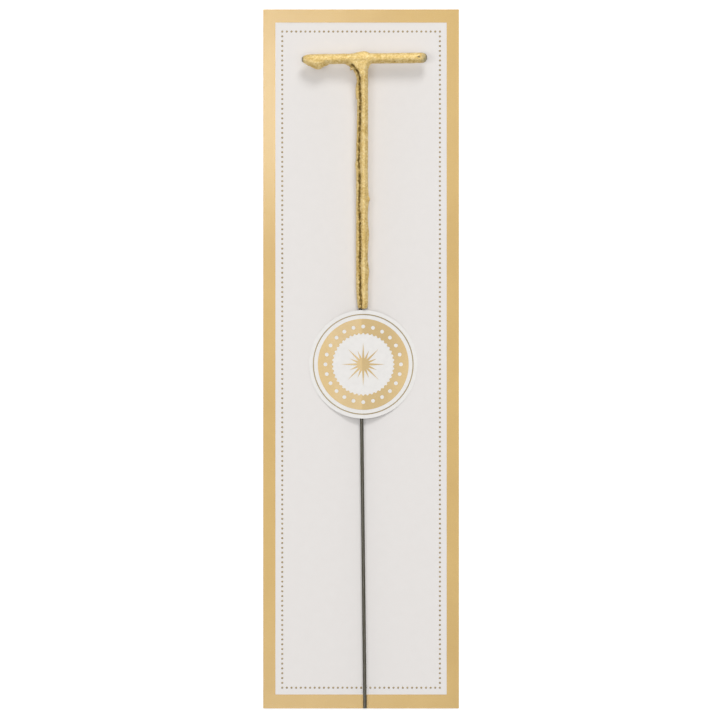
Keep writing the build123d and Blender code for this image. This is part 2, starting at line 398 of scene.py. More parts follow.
def composition_material():
    """Grey pressed powder with bright and rusty metal grains in it."""
    mat, shader = new_material("composition", Specular_IOR_Level=0.3)
    coords = millimetres(mat)
    powder = grain(mat, coords, 3.2, 6, 0.7)
    grains = cells(mat, coords, 4.5)
    dark, middle, pale = (0.13, 0.11, 0.08), (0.27, 0.24, 0.18), (0.42, 0.38, 0.29)
    grey = ramp(mat, powder, (0.3, dark), (0.55, middle), (0.75, pale))
    chips = ramp(mat, grains, (0.14, 0.8), (0.22, 0.0))
    tint = ramp(mat, grain(mat, coords, 1.1, 2), (0.4, (0.42, 0.34, 0.2)), (0.6, (0.2, 0.13, 0.08)))
    link(mat, mixed(mat, chips, grey, tint), shader.inputs["Base Color"])
    link(mat, ramp(mat, powder, (0.3, 0.9), (0.7, 0.65)), shader.inputs["Roughness"])
    bump(mat, shader, powder, 0.12)
    return mat


def gold_material():
    """Metallic gold paint on a lumpy coat: glittering flakes, painted glints at random, and painted shade
    darkening the creases.
    """
    mat, shader = new_material("gold_coat", metallic=0.55)
    coords = millimetres(mat)
    flakes = cells(mat, coords, 3.6)
    fine = grain(mat, coords, 5.0, 5, 0.7)
    drift = grain(mat, coords, 0.5, 4, 0.6)
    mottle = grain(mat, coords, 1.9, 3, 0.6)
    deep, middle, pale = (0.6, 0.405, 0.122), (0.7, 0.505, 0.188), (0.8, 0.62, 0.295)
    glint, shade, bare = (0.88, 0.735, 0.41), (0.46, 0.29, 0.07), (0.3, 0.27, 0.17)
    brown, dark_brown = (0.42, 0.27, 0.06), (0.12, 0.072, 0.012)
    gold = ramp(mat, drift, (0.3, deep), (0.5, middle), (0.72, pale))
    # Random patches in a highlight colour: painted glints.
    gold = mixed(mat, ramp(mat, mottle, (0.5, 0.0), (0.68, 0.7)), gold, glint)
    gold = mixed(mat, ramp(mat, mottle, (0.34, 0.55), (0.46, 0.0)), gold, shade)
    # Painted shade: the creases are darkened to brown and near black by the crease value, with ragged
    # edges.
    ragged = maths(mat, "SUBTRACT", grain(mat, coords, 1.5, 5, 0.75), 0.5)
    crease = maths(mat, "ADD", named_value(mat, "crease"), ragged)
    rust_and_crease_shade = ramp(mat, crease, (0.35, brown), (0.9, dark_brown))
    gold = mixed(mat, ramp(mat, crease, (0.18, 0.0), (0.6, 1.0)), gold, rust_and_crease_shade)
    thin = ramp(mat, named_value(mat, "thin"), (0.1, 0.0), (0.8, 0.85))
    gold = mixed(mat, thin, gold, bare)
    link(mat, gold, shader.inputs["Base Color"])
    link(mat, ramp(mat, fine, (0.3, 0.6), (0.7, 0.42)), shader.inputs["Roughness"])
    relief = bump(mat, shader, fine, 0.05)
    bump(mat, shader, flakes, 0.03, relief)
    return mat


# Light and dark tone of each foil, and its clear coat and roughness
FOIL_TONE = ((0.51, 0.342, 0.111), (0.47, 0.307, 0.093))
LABEL_TONE = ((0.7, 0.535, 0.275), (0.655, 0.485, 0.235))
LINE_TONE = ((0.42, 0.33, 0.18), (0.37, 0.29, 0.15))
DOT_TONE = ((0.34, 0.255, 0.13), (0.3, 0.225, 0.11))
CARD_FOIL_FINISH = (0.8, 0.46, 0.6)
LABEL_FOIL_FINISH = (0.5, 0.56, 0.7)

board = card_material()
card_foil = foil_material("gold_foil", FOIL_TONE, *CARD_FOIL_FINISH)
dot_foil = foil_material("gold_foil_dots", DOT_TONE, *CARD_FOIL_FINISH)
label_foil = foil_material("label_foil", LABEL_TONE, *LABEL_FOIL_FINISH)
line_foil = foil_material("label_foil_line", LINE_TONE, *LABEL_FOIL_FINISH)
paper = paper_material()
glue = glue_material()
steel = wire_material()
powder = composition_material()
gold = gold_material()

for name, mat in (("backing_card", board), ("foil_frame", card_foil), ("arm_wire", steel)):
    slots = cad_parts[name].data.materials
    slots.clear()
    slots.append(mat)


# Foil dots: thin discs with a soft shoulder

DOT_RADIUS = 0.3
DOT_PITCH_ACROSS = 1.33
DOT_PITCH_ALONG = 1.38
DOT_SIDES = 24
DOT_SHOULDER = 0.03


def dot_row():
    """All dots of the row round the card, spread evenly along its four sides."""
    left, right = dots_low.x + DOT_RADIUS, dots_high.x - DOT_RADIUS
    bottom, top = dots_low.y + DOT_RADIUS, dots_high.y - DOT_RADIUS
    across = round((right - left) / DOT_PITCH_ACROSS)
    along = round((top - bottom) / DOT_PITCH_ALONG)
    places = [(left + (right - left) * i / across, y) for i in range(across + 1) for y in (bottom, top)]
    places += [(x, bottom + (top - bottom) * i / along) for i in range(1, along) for x in (left, right)]
    points, faces = [], []
    for x, y in places:
        start = len(points)
        for radius, z in (
            (DOT_RADIUS, dots_low.z),
            (DOT_RADIUS, dots_high.z - DOT_SHOULDER / 2),
            (DOT_RADIUS - DOT_SHOULDER, dots_high.z),
        ):
            for k in range(DOT_SIDES):
                turn = 2 * math.pi * k / DOT_SIDES
                points.append((x + radius * math.cos(turn), y + radius * math.sin(turn), z))
        for level in (0, 1):
            for k in range(DOT_SIDES):
                a = start + level * DOT_SIDES + k
                b = start + level * DOT_SIDES + (k + 1) % DOT_SIDES
                faces.append((a, b, b + DOT_SIDES, a + DOT_SIDES))
        faces.append(tuple(start + k for k in reversed(range(DOT_SIDES))))
        faces.append(tuple(start + 2 * DOT_SIDES + k for k in range(DOT_SIDES)))
    return mesh_of("foil_dot_discs", points, faces)


piece("foil_dot_discs", dot_row(), "card", dot_foil, "foil_dots", slot="gold_foil")


# The stick: one wire from the handle's cut end to the left arm

WIRE_SIDES = 28
WIRE_STEP = 1.2
CUT_CHAMFER = 0.08


def stick_mesh():
    """The stick's wire, with a chamfer at its cut end."""
    end = stick_axis(stick_low.y)
    lift = stick_axis(lift_y)
    straight = stick_axis(straight_y)
    tip = left_corner - bar_out * (left_corner.x - left_tip.x - TIP_COVER)
    radii = [
        ease_radius(LIFT_EASE, end, lift, straight),
        ease_radius(STRAIGHTEN_AT, lift, straight, left_corner),
        LEFT_BEND,
    ]
    path = rounded([end, lift, straight, left_corner, tip], radii, WIRE_STEP)
    path.insert(1, path[0] + (path[1] - path[0]).normalized() * CUT_CHAMFER)

    def radius_at(along):
        return WIRE_RADIUS if along > 0 else WIRE_RADIUS - CUT_CHAMFER

    return mesh_of("stick_wire_drawn", *tube(path, radius_at, WIRE_SIDES))


piece("stick_wire_drawn", stick_mesh(), "sparkler", steel, "stick_wire", slot="steel_wire")


# The dipped coat: plain forms run together, then lumps, grain and creases worked into the surface

VOXEL = 0.1
TUBE_SIDES = 40
BAR_STEP, STEM_STEP = 0.15, 0.3
BALL_DETAIL = 4
SMOOTH_ROUNDS = 24
GOLD_BARE_TIP = 0.3
GOLD_BARE_STEM = 0.04

# How far the bar's ends narrow, and over which length
LEFT_END, LEFT_NARROW = 3.2, 0.8
RIGHT_END, RIGHT_NARROW = 1.5, 0.9

# How many bend radii the stem's lobes run on past the corner into the bar
RUN_PAST_BEND = 1.2

# The peak over the stem: its place along the bar, rise and spread, and the balls in one spread
PEAK_X, PEAK_RISE, PEAK_LEFT, PEAK_RIGHT = 0.5, 0.64, 2.3, 1.1
PEAK_BALL, PEAK_STEPS = 1.0, 4

# The web in the left corner: a wider bend than the wire's, and a small hanging point on its edge
WEB_BEND, WEB_RADIUS, WEB_LENGTH, WEB_SINK = 6.3, 1.02, 3.5, 0.3
WEB_POINTS = ((-2.8, 82.8, 0.3), (-3.02, 82.5, 0.12))

# The stem's broad run into the bar: places across and up the card
JUNCTION_BALL = 1.28
JUNCTION = (
    (0.2, 81.4), (-0.1, 82.2), (-0.3, 83.3), (-0.75, 83.0), (-1.2, 83.7), (-0.9, 84.4), (-1.9, 84.4),
    (-2.7, 84.8), (1.0, 83.6), (0.0, 84.4), (0.8, 84.5), (1.5, 84.7), (-2.6, 85.2), (-1.9, 85.1),
    (-1.2, 85.1), (-0.5, 85.1), (0.2, 85.1), (0.9, 85.1), (1.6, 85.2),
)

# The left lobe of the stem's coat lies a little to the side of its wire and behind it
LEFT_LOBE_SHIFT = Vector((-0.1, 0, -0.3))

# Swellings that stand out sideways from the stem: side, height up the card, rise and spread
SWELLING_BALL, SWELLING_STEPS = 0.8, 3
SWELLINGS = (
    ("left", 76.4, 0.2, 0.9), ("left", 55.4, 0.3, 1.1), ("right", 45.8, 0.36, 1.9),
    ("right", 45.6, 0.6, 0.4), ("right", 35.6, 0.32, 2.4), ("right", 24.8, 0.32, 2.2),
    ("right", 71.0, 0.08, 3.0), ("right", 57.0, -0.1, 3.0),
)

# The drip under the left arm: places across and up the card, and radii
DRIP_BALLS = (
    (-15.46, 85.3, 1.05), (-14.46, 84.75, 1.1), (-13.46, 84.2, 1.1), (-12.6, 83.85, 1.1),
    (-12.0, 83.85, 1.1), (-11.2, 84.2, 1.0), (-10.2, 84.65, 1.0), (-14.6, 85.0, 1.3),
    (-13.7, 84.8, 1.35), (-12.8, 84.7, 1.35), (-11.9, 84.8, 1.35), (-11.0, 85.0, 1.3),
)

# How much thinner the left lobe of the stem is, at heights up the card
LEFT_THIN = (
    (14.2, 0.6), (17.4, 0.2), (19.0, 0.08), (24.0, 0.0), (58.0, 0.0), (66.0, 0.2), (72.0, 0.3),
    (78.0, 0.4), (81.0, 0.2),
)

# Creases: points across and up the card, width, depth and darkness of the painted shade in them
MAIN_CREASE = (
    (-0.1, 14.0), (-0.18, 17.1), (-0.4, 18.9), (-0.36, 21.1), (-0.46, 23.7), (-0.49, 27.7),
    (-0.4, 29.7), (-0.46, 34.0), (-0.52, 40.6), (-0.74, 44.9), (-0.56, 48.0), (-0.52, 52.0),
    (-0.8, 56.3), (-0.7, 60.6), (-0.56, 64.7), (-0.4, 68.9), (-0.32, 74.2), (-0.56, 77.6),
    (-0.56, 80.1), (-1.0, 81.9), (-1.93, 82.9), (-2.6, 83.9),
)
CREASES = (
    (MAIN_CREASE, 0.4, 0.4, 1.0),
    (((-0.6, 79.6), (-0.95, 81.7), (-1.9, 82.9), (-2.8, 83.5)), 0.62, 0.06, 0.62),
    (((2.0, 86.0), (2.7, 85.75), (3.9, 85.5)), 0.34, 0.1, 0.4),
    (((0.93, 28.2), (2.0, 28.1)), 0.13, 0.08, 0.4),
    (((0.8, 24.6), (2.2, 24.5)), 0.13, 0.08, 0.45),
    (((1.75, 28.3), (1.75, 30.2)), 0.24, 0.08, 0.55),
    (((1.85, 25.7), (1.85, 27.4)), 0.24, 0.08, 0.55),
    (((-1.3, 76.4), (-0.9, 76.6)), 0.2, 0.12, 0.5),
    (((16.35, 86.25), (16.45, 86.2)), 0.32, 0.3, 1.0),
    (((9.5, 84.9), (9.65, 84.8)), 0.22, 0.2, 0.9),
)
CREASE_JAG = 0.2

# How the creases' depth varies with the crumbs, and their painted shade with the knobs and crumbs
DEPTH_EVEN, DEPTH_CRUMBS = 0.75, 0.35
DARK_EVEN, DARK_KNOBS, DARK_CRUMBS = 0.8, 0.5, 0.3

# Where the gold thins out at the bar's two ends and at the stem's lower end, and how raggedly
TIP_FADE_LEFT, TIP_FADE_RIGHT, STEM_FADE, STEM_MIDDLE = 0.9, 2.3, 0.6, 0.2
THIN_KNOBS = 0.35

# Noise on the coat: features in a millimetre, layers and seed
LUMPS, KNOBS, CRUMBS, JAG, CORE_GRAIN = (0.33, 2, 1), (1.1, 3, 2), (3.4, 2, 3), (1.3, 3, 4), (2.2, 3, 5)
SEED_X, SEED_Y, SEED_Z = 17.3, 5.1, 9.7
NOISE_FALL, NOISE_STEP = 0.9, 2.1

# Heights of that noise on the gold and on the grey core, and how far the core sinks under the gold
LUMP_HEIGHT, KNOB_HEIGHT, CRUMB_HEIGHT = 0.06, 0.04, 0.02
CORE_LUMP_HEIGHT, CORE_GRAIN_HEIGHT, CORE_SINK = 0.1, 0.06, 0.04

# How far round from the front the creases reach
GOLD_FRONT, CORE_FRONT, FRONT_FADE = 0.25, 0.5, 0.5

# The same crease in the grey core, wide and deep enough to stay under the gold
GROOVE_WIDTH, GROOVE_DEPTH = 0.7, 0.55

# The least cover on the stem's wires, of the gold and of the grey core
GOLD_COVER, CORE_COVER = 0.14, 0.05
LEAST_REACH = 0.01


def coat_form(extra, bare_tip, bare_stem):
    """Tubes and balls of the coat, grown by extra and cut short at the ends, as points and faces."""
    points, faces = [], []

    def put(shape):
        start = len(points)
        points.extend(shape[0])
        faces.extend(tuple(start + i for i in face) for face in shape[1])

    def ball(middle, radius):
        bm = bmesh.new()
        bmesh.ops.create_icosphere(bm, subdivisions=BALL_DETAIL, radius=radius)
        bm.verts.ensure_lookup_table()
        put(([middle + v.co for v in bm.verts], [[v.index for v in f.verts] for f in bm.faces]))
        bm.free()

    length = (right_tip - left_tip).length - 2 * bare_tip
    arm = ARM_RADIUS + extra

    def arm_radius_at(along):
        left, right = along + bare_tip, length - along + bare_tip
        left_share = min(left / LEFT_END, 1)
        right_share = min(right / RIGHT_END, 1)
        narrow = math.sqrt(1 - LEFT_NARROW * (1 - left_share) ** 2)
        narrow *= math.sqrt(1 - RIGHT_NARROW * (1 - right_share) ** 2)
        return arm * narrow

    bar = [left_tip + bar_out * bare_tip, right_tip - bar_out * bare_tip]
    put(tube(rounded(bar, [], BAR_STEP), arm_radius_at, TUBE_SIDES))
    stem = STEM_RADIUS + extra
    thin_y, thin = zip(*LEFT_THIN)

    def left_radius_at(along):
        return stem - np.interp(left_low.y + bare_stem + along, thin_y, thin)

    def right_radius_at(along):
        return stem - TAPER_DROP / 2 * max(1 - (along + bare_stem) / TAPER_LENGTH, 0)

    for low, corner, out, bend, radius_at in (
        (left_low, left_corner, -bar_out, LEFT_BEND, left_radius_at),
        (right_low, right_corner, bar_out, RIGHT_BEND, right_radius_at),
    ):
        shift = LEFT_LOBE_SHIFT if low is left_low else Vector()
        start = low + (corner - low).normalized() * bare_stem
        line = [spot + shift for spot in (start, corner, corner + out * bend * RUN_PAST_BEND)]
        put(tube(rounded(line, [bend], STEM_STEP), radius_at, TUBE_SIDES))
    sink = Vector((0, 0, -WEB_SINK))
    web_low = left_corner + (left_low - left_corner).normalized() * (WEB_BEND + WEB_LENGTH)
    web_end = left_corner - bar_out * (WEB_BEND + WEB_LENGTH)
    line = [spot + sink for spot in (web_low, left_corner, web_end)]
    put(tube(rounded(line, [WEB_BEND], STEM_STEP), lambda along: WEB_RADIUS + extra, TUBE_SIDES))
    for x, y in JUNCTION:
        ball(Vector((x, y, BAR_Z)), JUNCTION_BALL + extra)
    for x, y, radius in WEB_POINTS:
        ball(Vector((x, y, BAR_Z - WEB_SINK)), radius + extra)
    for step in range(-2 * PEAK_STEPS, 2 * PEAK_STEPS + 1):
        share = step / PEAK_STEPS
        away = share * (PEAK_LEFT if step < 0 else PEAK_RIGHT)
        top = PEAK_RISE * math.exp(-(share**2))
        above = Vector((0, ARM_RADIUS + top - PEAK_BALL, 0))
        ball(bar_middle + bar_out * (PEAK_X + away) + above, PEAK_BALL + extra)
    for side, y, height, spread in SWELLINGS:
        for step in range(-2 * SWELLING_STEPS, 2 * SWELLING_STEPS + 1):
            away = step / SWELLING_STEPS * spread
            top = height * math.exp(-((away / spread) ** 2))
            aside = Vector((STEM_RADIUS + top - SWELLING_BALL, 0, 0))
            if side == "left":
                ball(stick_axis(y + away) + LEFT_LOBE_SHIFT - aside, SWELLING_BALL + extra)
            else:
                ball(stick_axis(y + away) + twin_step + aside, SWELLING_BALL + extra)
    for x, y, radius in DRIP_BALLS:
        ball(Vector((x, y, BAR_Z)), radius + extra)
    return points, faces


def run_together(points, faces):
    """One smooth closed skin round overlapping forms, still in millimetres."""
    rough = bpy.data.meshes.new("coat_rough")
    rough.from_pydata(points, [], faces)
    holder = bpy.data.objects.new("coat_rough", rough)
    bpy.context.scene.collection.objects.link(holder)
    remesh = holder.modifiers.new("remesh", "REMESH")
    remesh.mode = "VOXEL"
    remesh.voxel_size = VOXEL
    smooth = holder.modifiers.new("smooth", "SMOOTH")
    smooth.factor = 0.5
    smooth.iterations = SMOOTH_ROUNDS
    done = bpy.data.meshes.new_from_object(holder.evaluated_get(bpy.context.evaluated_depsgraph_get()))
    bpy.data.objects.remove(holder)
    bpy.data.meshes.remove(rough)
    return done


def noise_at(points, scale, octaves, seed):
    """Noise from about -1 to 1 at each point, with this many features in a millimetre."""
    shift = Vector((seed * SEED_X, seed * SEED_Y, seed * SEED_Z))
    spots = [Vector(p) * scale + shift for p in points]
    return np.array([noise.fractal(spot, NOISE_FALL, NOISE_STEP, octaves) for spot in spots])


def distance_to_line(points, line):
    """Each point's distance across the card to a line of points."""
    flat = points[:, :2]
    best = np.full(len(flat), np.inf)
    for a, b in zip(line, line[1:]):
        a, b = np.array(a), np.array(b)
        run = b - a
        share = np.clip((flat - a) @ run / (run @ run), 0, 1)
        best = np.minimum(best, np.linalg.norm(flat - a - share[:, None] * run, axis=1))
    return best


def coat_arrays(mesh):
    """A mesh's points and their normals, one row each."""
    points = np.zeros(len(mesh.vertices) * 3)
    normals = np.zeros(len(mesh.vertices) * 3)
    mesh.vertices.foreach_get("co", points)
    mesh.vertices.foreach_get("normal", normals)
    return points.reshape(-1, 3), normals.reshape(-1, 3)


def clear_of_wires(points, cover):
    """The points, moved out from the stem's two wires where less than this cover is left on them."""
    points = points.copy()
    for low, corner, bend in ((left_low, left_corner, LEFT_BEND), (right_low, right_corner, RIGHT_BEND)):
        share = (points[:, 1] - low.y) / (corner.y - low.y)
        axis = np.array(low) + share[:, None] * np.array(corner - low)
        out = points - axis
        out[:, 1] = 0
        reach = np.maximum(np.linalg.norm(out, axis=1), LEAST_REACH)
        short = (reach < WIRE_RADIUS + cover) & (points[:, 1] < corner.y - bend)
        points[short] += out[short] * ((WIRE_RADIUS + cover) / reach[short] - 1)[:, None]
    return points


def finish_coat(mesh, points):
    """Puts a mesh's points, given in millimetres, in place and shades it smooth."""
    mesh.vertices.foreach_set("co", (points * MM).ravel())
    mesh.update()
    mesh.polygons.foreach_set("use_smooth", [True] * len(mesh.polygons))
    return mesh


def gold_coat():
    """The gold skin, with the painted shade of its creases and how thin it is stored on its points for
    the material.
    """
    mesh = run_together(*coat_form(SKIN, GOLD_BARE_TIP, GOLD_BARE_STEM))
    mesh.name = "gold_coat_skin"
    points, normals = coat_arrays(mesh)
    lumps = noise_at(points, *LUMPS)
    knobs = noise_at(points, *KNOBS)
    crumbs = noise_at(points, *CRUMBS)
    jag = noise_at(points, *JAG)
    push = LUMP_HEIGHT * lumps + KNOB_HEIGHT * knobs + CRUMB_HEIGHT * crumbs
    dark = np.zeros(len(points))
    front = np.clip((normals[:, 2] + GOLD_FRONT) / FRONT_FADE, 0, 1)
    # Each crease is pressed in, and its painted shade is gathered for the material.
    for line, width, depth, darkness in CREASES:
        away = distance_to_line(points, line) + CREASE_JAG * jag
        core = np.exp(-((np.maximum(away, 0) / width) ** 2)) * front
        push -= depth * core * (DEPTH_EVEN + DEPTH_CRUMBS * crumbs)
        uneven = DARK_EVEN + DARK_KNOBS * knobs + DARK_CRUMBS * crumbs
        dark = np.maximum(dark, core * darkness * uneven)
    corner = np.abs(points[:, 0] - STEM_X) / STEM_RADIUS - STEM_MIDDLE
    thin = np.maximum.reduce([
        1 - (points[:, 0] - left_tip.x) / TIP_FADE_LEFT,
        1 - (right_tip.x - points[:, 0]) / TIP_FADE_RIGHT,
        corner - (points[:, 1] - left_low.y) / STEM_FADE,
    ]) + THIN_KNOBS * knobs
    finish_coat(mesh, clear_of_wires(points + normals * push[:, None], GOLD_COVER))
    for name, values in (("crease", dark), ("thin", thin)):
        store = mesh.attributes.new(name, "FLOAT", "POINT")
        store.data.foreach_set("value", np.clip(values, 0, 1).astype(np.float32))
    return mesh


def composition_core():
    """The grey core under the gold, which shows at the bar's ends and the stem's lower end."""
    mesh = run_together(*coat_form(0.0, 0.0, 0.0))
    mesh.name = "composition_core"
    points, normals = coat_arrays(mesh)
    push = CORE_LUMP_HEIGHT * noise_at(points, *LUMPS)
    push += CORE_GRAIN_HEIGHT * noise_at(points, *CORE_GRAIN) - CORE_SINK
    groove = np.exp(-((distance_to_line(points, MAIN_CREASE) / GROOVE_WIDTH) ** 2))
    push -= GROOVE_DEPTH * groove * np.clip((normals[:, 2] + CORE_FRONT) / FRONT_FADE, 0, 1)
    return finish_coat(mesh, clear_of_wires(points + normals * push[:, None], CORE_COVER))


piece("gold_coat_skin", gold_coat(), "sparkler", gold, "gold_skin", slot="gold_coat")
piece("composition_core", composition_core(), "sparkler", powder, "spark_composition", slot="composition")


# The round label: every sheet of it follows one tent over the stick

half_open = label_radius - GLUE_WIDTH
ridge_lift = Vector((0, 0, WIRE_RADIUS + LABEL_CLEARANCE))
ridge_low = stick_axis(paper_low.y) + ridge_lift
ridge_run = stick_axis(paper_high.y) + ridge_lift - ridge_low
apex = ridge_low - ridge_run * ((ridge_low.z - label_base) / ridge_run.z)
ridge = ridge_low + ridge_run / 2
feet = (label_x - half_open, label_x + half_open)
left_slope = (ridge.z - label_base) / (ridge.x - feet[0])
right_slope = (ridge.z - label_base) / (feet[1] - ridge.x)
TENT_CORNERS = (
    (feet[0], left_slope, FOOT_RADIUS),
    (ridge.x, -left_slope - right_slope, RIDGE_RADIUS),
    (feet[1], right_slope, FOOT_RADIUS),
)


def tent_share(y):
    """How wide the tent is at this height up the card, as a share of its width at the label's middle."""
    return (y - apex.y) / (label_y - apex.y)


def tent_height(points):
    """The height of the label's underside at points across and up the card."""
    share = tent_share(points[:, 1])
    x = apex.x + (points[:, 0] - apex.x) / share
    lift = np.zeros(len(points))
    for corner, bend, radius in TENT_CORNERS:
        soft = radius * math.tan(abs(math.atan(bend)) / 2)
        past = np.clip(x - corner + soft, 0, 2 * soft)
        lift += bend * (past**2 / (4 * soft) + np.maximum(x - corner - soft, 0))
    return label_base + lift * share


def circle(radius, count, x=0.0, y=0.0):
    """A closed loop of points round the label's middle, or round a place from it."""
    turns = [2 * math.pi * i / count for i in range(count)]
    return [(label_x + x + radius * math.cos(t), label_y + y + radius * math.sin(t)) for t in turns]


def inside(points, loop):
    """Which points lie within a closed loop."""
    x, y = points[:, 0], points[:, 1]
    odd = np.zeros(len(points), bool)
    for (ax, ay), (bx, by) in zip(loop, loop[1:] + loop[:1]):
        if ay != by:
            crosses = (ay > y) != (by > y)
            odd ^= crosses & (x < (bx - ax) * (y - ay) / (by - ay) + ax)
    return odd


SHEET_STEP = 0.55
FINE_STEP = 0.14
FINE_REACH = 0.7
GRID_REACH = 1.3

# What the triangulation keeps, and how near two points are to count as one
TRIANGLES_INSIDE = 1
SAME_POINT = 1e-5


def tent_grid():
    """Points on the rays of the tent, closer together at its ridge and feet."""
    reach = GRID_REACH * label_radius
    columns = list(np.arange(label_x - reach, label_x + reach, SHEET_STEP))
    for corner, _, _ in TENT_CORNERS:
        columns += list(np.arange(corner - FINE_REACH, corner + FINE_REACH, FINE_STEP))
    rows = np.arange(paper_low.y, paper_high.y, SHEET_STEP)
    return np.array([(apex.x + (x - apex.x) * tent_share(y), y) for x in sorted(columns) for y in rows])


def sheet(name, outline, holes, lift, thickness):
    """A sheet of a flat outline with holes, laid on the tent at a height above its underside."""
    loops = [outline, *holes]
    grid = tent_grid()
    keep = inside(grid, outline)
    for hole in holes:
        keep &= ~inside(grid, hole)
    border = np.array([p for loop in loops for p in loop])
    grid = grid[keep]
    gap = np.array([np.min(np.hypot(*(border - p).T)) for p in grid])
    grid = grid[gap > FINE_STEP]
    edges, start = [], 0
    for loop in loops:
        edges += [(start + i, start + (i + 1) % len(loop)) for i in range(len(loop))]
        start += len(loop)
    flat = [Vector(p) for p in border] + [Vector(p) for p in grid]
    spots, _, triangles, *_ = delaunay_2d_cdt(flat, edges, [], TRIANGLES_INSIDE, SAME_POINT)
    spots = np.array([tuple(p) for p in spots])
    corners = np.array([tuple(t) for t in triangles])
    middles = spots[corners].mean(axis=1)
    keep = inside(middles, outline)
    for hole in holes:
        keep &= ~inside(middles, hole)
    corners = corners[keep]
    under = tent_height(spots) + lift
    count = len(spots)
    points = [(x, y, z) for (x, y), z in zip(spots, under)]
    points += [(x, y, z + thickness) for (x, y), z in zip(spots, under)]
    faces = [tuple(int(i) + count for i in t) for t in corners]
    faces += [tuple(int(i) for i in reversed(t)) for t in corners]
    once = {}
    for a, b, c in corners:
        for edge in ((a, b), (b, c), (c, a)):
            once[edge] = True
    faces += [
        (int(a), int(b), int(b) + count, int(a) + count) for a, b in once if (b, a) not in once
    ]
    mesh = mesh_of(name, points, faces)
    bm = bmesh.new()
    bm.from_mesh(mesh)
    loose = [v for v in bm.verts if not v.link_faces]
    bmesh.ops.delete(bm, geom=loose, context="VERTS")
    bm.to_mesh(mesh)
    bm.free()
    return mesh


def on_label(obj):
    """Bakes a label sheet's place into its mesh."""
    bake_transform(obj)


RIM_POINTS = 240
RING_WIDTH = 0.3
SCALLOPS, SCALLOP_RADIUS = 44, 0.36
BITE_STEPS, FLAT_STEPS = 8, 4
BEADS, BEAD_RADIUS, BEAD_POINTS = 24, 0.55, 28
BAND_WIDTH = 4.4
MOTIF_RAYS, MOTIF_WAIST, SHORT_RAY_CUT = 16, 1.7, 2.0
PAD_INSET, PAD_STEPS = 0.3, 12
ring_outer = (ring_high.x - ring_low.x) / 2
band_outer = (band_high.x - band_low.x) / 2
band_inner = band_outer - BAND_WIDTH
motif_radius = (motif_high.y - motif_low.y) / 2


def scalloped_edge():
    """The band's inner edge: a circle with small round bites all the way round."""
    loop = []
    bite = 2 * math.asin(SCALLOP_RADIUS / (2 * band_inner))
    for i in range(SCALLOPS):
        turn = 2 * math.pi * i / SCALLOPS
        middle = Vector((math.cos(turn), math.sin(turn))) * band_inner
        for k in range(BITE_STEPS + 1):
            sweep = math.pi / 2 - bite / 2 - (math.pi - bite) * k / BITE_STEPS
            spot = middle + Vector((math.cos(turn - sweep), math.sin(turn - sweep))) * SCALLOP_RADIUS
            loop.append((label_x + spot.x, label_y + spot.y))
        flat_start, flat_end = turn + bite, 2 * math.pi * (i + 1) / SCALLOPS - bite
        for k in range(1, FLAT_STEPS):
            t = flat_start + (flat_end - flat_start) * k / FLAT_STEPS
            loop.append((label_x + band_inner * math.cos(t), label_y + band_inner * math.sin(t)))
    return loop


def burst():
    """The motif's outline: long and short rays by turns."""
    loop = []
    for step in range(2 * MOTIF_RAYS):
        ray, valley = divmod(step, 2)
        radius = MOTIF_WAIST if valley else motif_radius - SHORT_RAY_CUT * (ray % 2)
        turn = math.pi * step / MOTIF_RAYS
        loop.append((label_x + radius * math.sin(turn), label_y + radius * math.cos(turn)))
    return loop


def bead_holes():
    """The round windows along the middle of the band."""
    middle = band_outer - BAND_WIDTH / 2
    turns = [2 * math.pi * i / BEADS for i in range(BEADS)]
    return [circle(BEAD_RADIUS, BEAD_POINTS, middle * math.cos(t), middle * math.sin(t)) for t in turns]


def glue_pads():
    """Two pads of glue between the card and the label's flat sides."""
    points, faces = [], []
    rim = circle(label_radius - PAD_INSET, RIM_POINTS)
    for side, foot in zip((-1, 1), feet):
        loop = [
            (x, y)
            for x, y in rim
            if side * (x - apex.x - (foot - apex.x) * tent_share(y)) > 0
        ]
        turn = [math.atan2(y - label_y, side * (x - label_x)) for x, y in loop]
        loop = [p for _, p in sorted(zip(turn, loop))]
        rows = len(loop)
        levels = (pads_low.z, pads_high.z)
        inner = [(apex.x + (foot - apex.x) * tent_share(y), y) for _, y in loop]
        start = len(points)
        for z in levels:
            for (ox, oy), (ix, iy) in zip(loop, inner):
                shares = [k / PAD_STEPS for k in range(PAD_STEPS + 1)]
                points += [(ix + (ox - ix) * s, iy + (oy - iy) * s, z) for s in shares]
        row = PAD_STEPS + 1
        layer = rows * row
        for r in range(rows - 1):
            for k in range(PAD_STEPS):
                a = start + r * row + k
                quad = (a, a + 1, a + row + 1, a + row)
                top = tuple(i + layer for i in quad)
                faces.append(top if side > 0 else tuple(reversed(top)))
                faces.append(tuple(reversed(quad)) if side > 0 else quad)
        edge = [start + r * row for r in range(rows)]
        edge += [start + (rows - 1) * row + k for k in range(1, row)]
        edge += [start + r * row + PAD_STEPS for r in reversed(range(rows - 1))]
        edge += [start + k for k in reversed(range(1, PAD_STEPS))]
        for a, b in zip(edge, edge[1:] + edge[:1]):
            wall = (b, a, a + layer, b + layer)
            faces.append(wall if side > 0 else tuple(reversed(wall)))
    return mesh_of("label_glue_pads", points, faces)


def on_paper(name, outline, holes):
    """A sheet of foil that lies on the label's paper."""
    return sheet(name, outline, holes, PAPER + BOND, FOIL)


